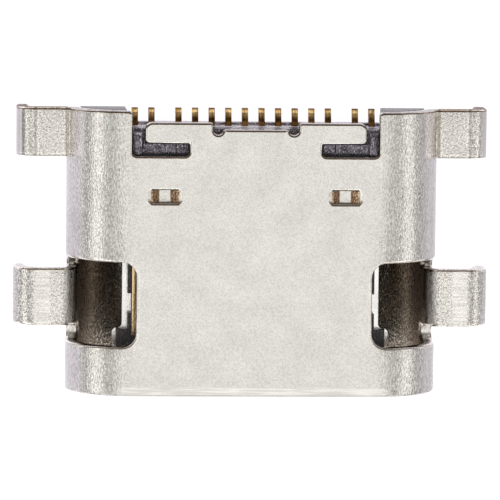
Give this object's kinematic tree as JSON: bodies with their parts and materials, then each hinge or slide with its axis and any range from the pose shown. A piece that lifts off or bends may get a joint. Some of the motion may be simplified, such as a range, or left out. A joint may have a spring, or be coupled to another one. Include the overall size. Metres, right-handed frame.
{
  "type": "phone charging port",
  "caption": "Reversible phone charging port for a board cut-out: plated metal shell with bent through-board legs, a contact tongue inside and a row of solder tails behind.",
  "frame": {"origin": "middle of the mouth's opening, on its front plane and halfway up the shell", "axes": "+X across the port, +Y inwards from the mouth to the solder tails, +Z away from the board"},
  "size_m": [0.0114, 0.0069, 0.0032],
  "materials": {
    "shell_plating": "satin nickel plating with a fine rolled grain",
    "plate_steel": "bright stamped stainless sheet",
    "ground_sheet": "thin satin stainless sheet",
    "contact_gold": "gold-plated copper alloy",
    "insulator_plastic": "moulded black, faintly glass-filled",
    "carrier_plastic": "moulded black",
    "tongue_plastic": "moulded black, smooth"
  },
  "bodies": {
    "root": {"insulator": "insulator_plastic", "lower_contact_carrier": "carrier_plastic", "lower_data_minus_contact_left": "contact_gold", "lower_data_plus_contact_right": "contact_gold", "lower_ground_contact_left": "contact_gold", "lower_ground_contact_right": "contact_gold", "lower_ground_plate": "ground_sheet", "lower_power_contact_left": "contact_gold", "lower_power_contact_right": "contact_gold", "lower_sense_contact_right": "contact_gold", "lower_side_channel_contact_left": "contact_gold", "mid_plate": "plate_steel", "shell": "shell_plating", "tongue": "tongue_plastic", "upper_contact_carrier": "carrier_plastic", "upper_data_minus_contact_right": "contact_gold", "upper_data_plus_contact_left": "contact_gold", "upper_ground_contact_left": "contact_gold", "upper_ground_contact_right": "contact_gold", "upper_ground_plate": "ground_sheet", "upper_power_contact_left": "contact_gold", "upper_power_contact_right": "contact_gold", "upper_sense_contact_left": "contact_gold", "upper_side_channel_contact_right": "contact_gold"}
  },
  "joints": []
}
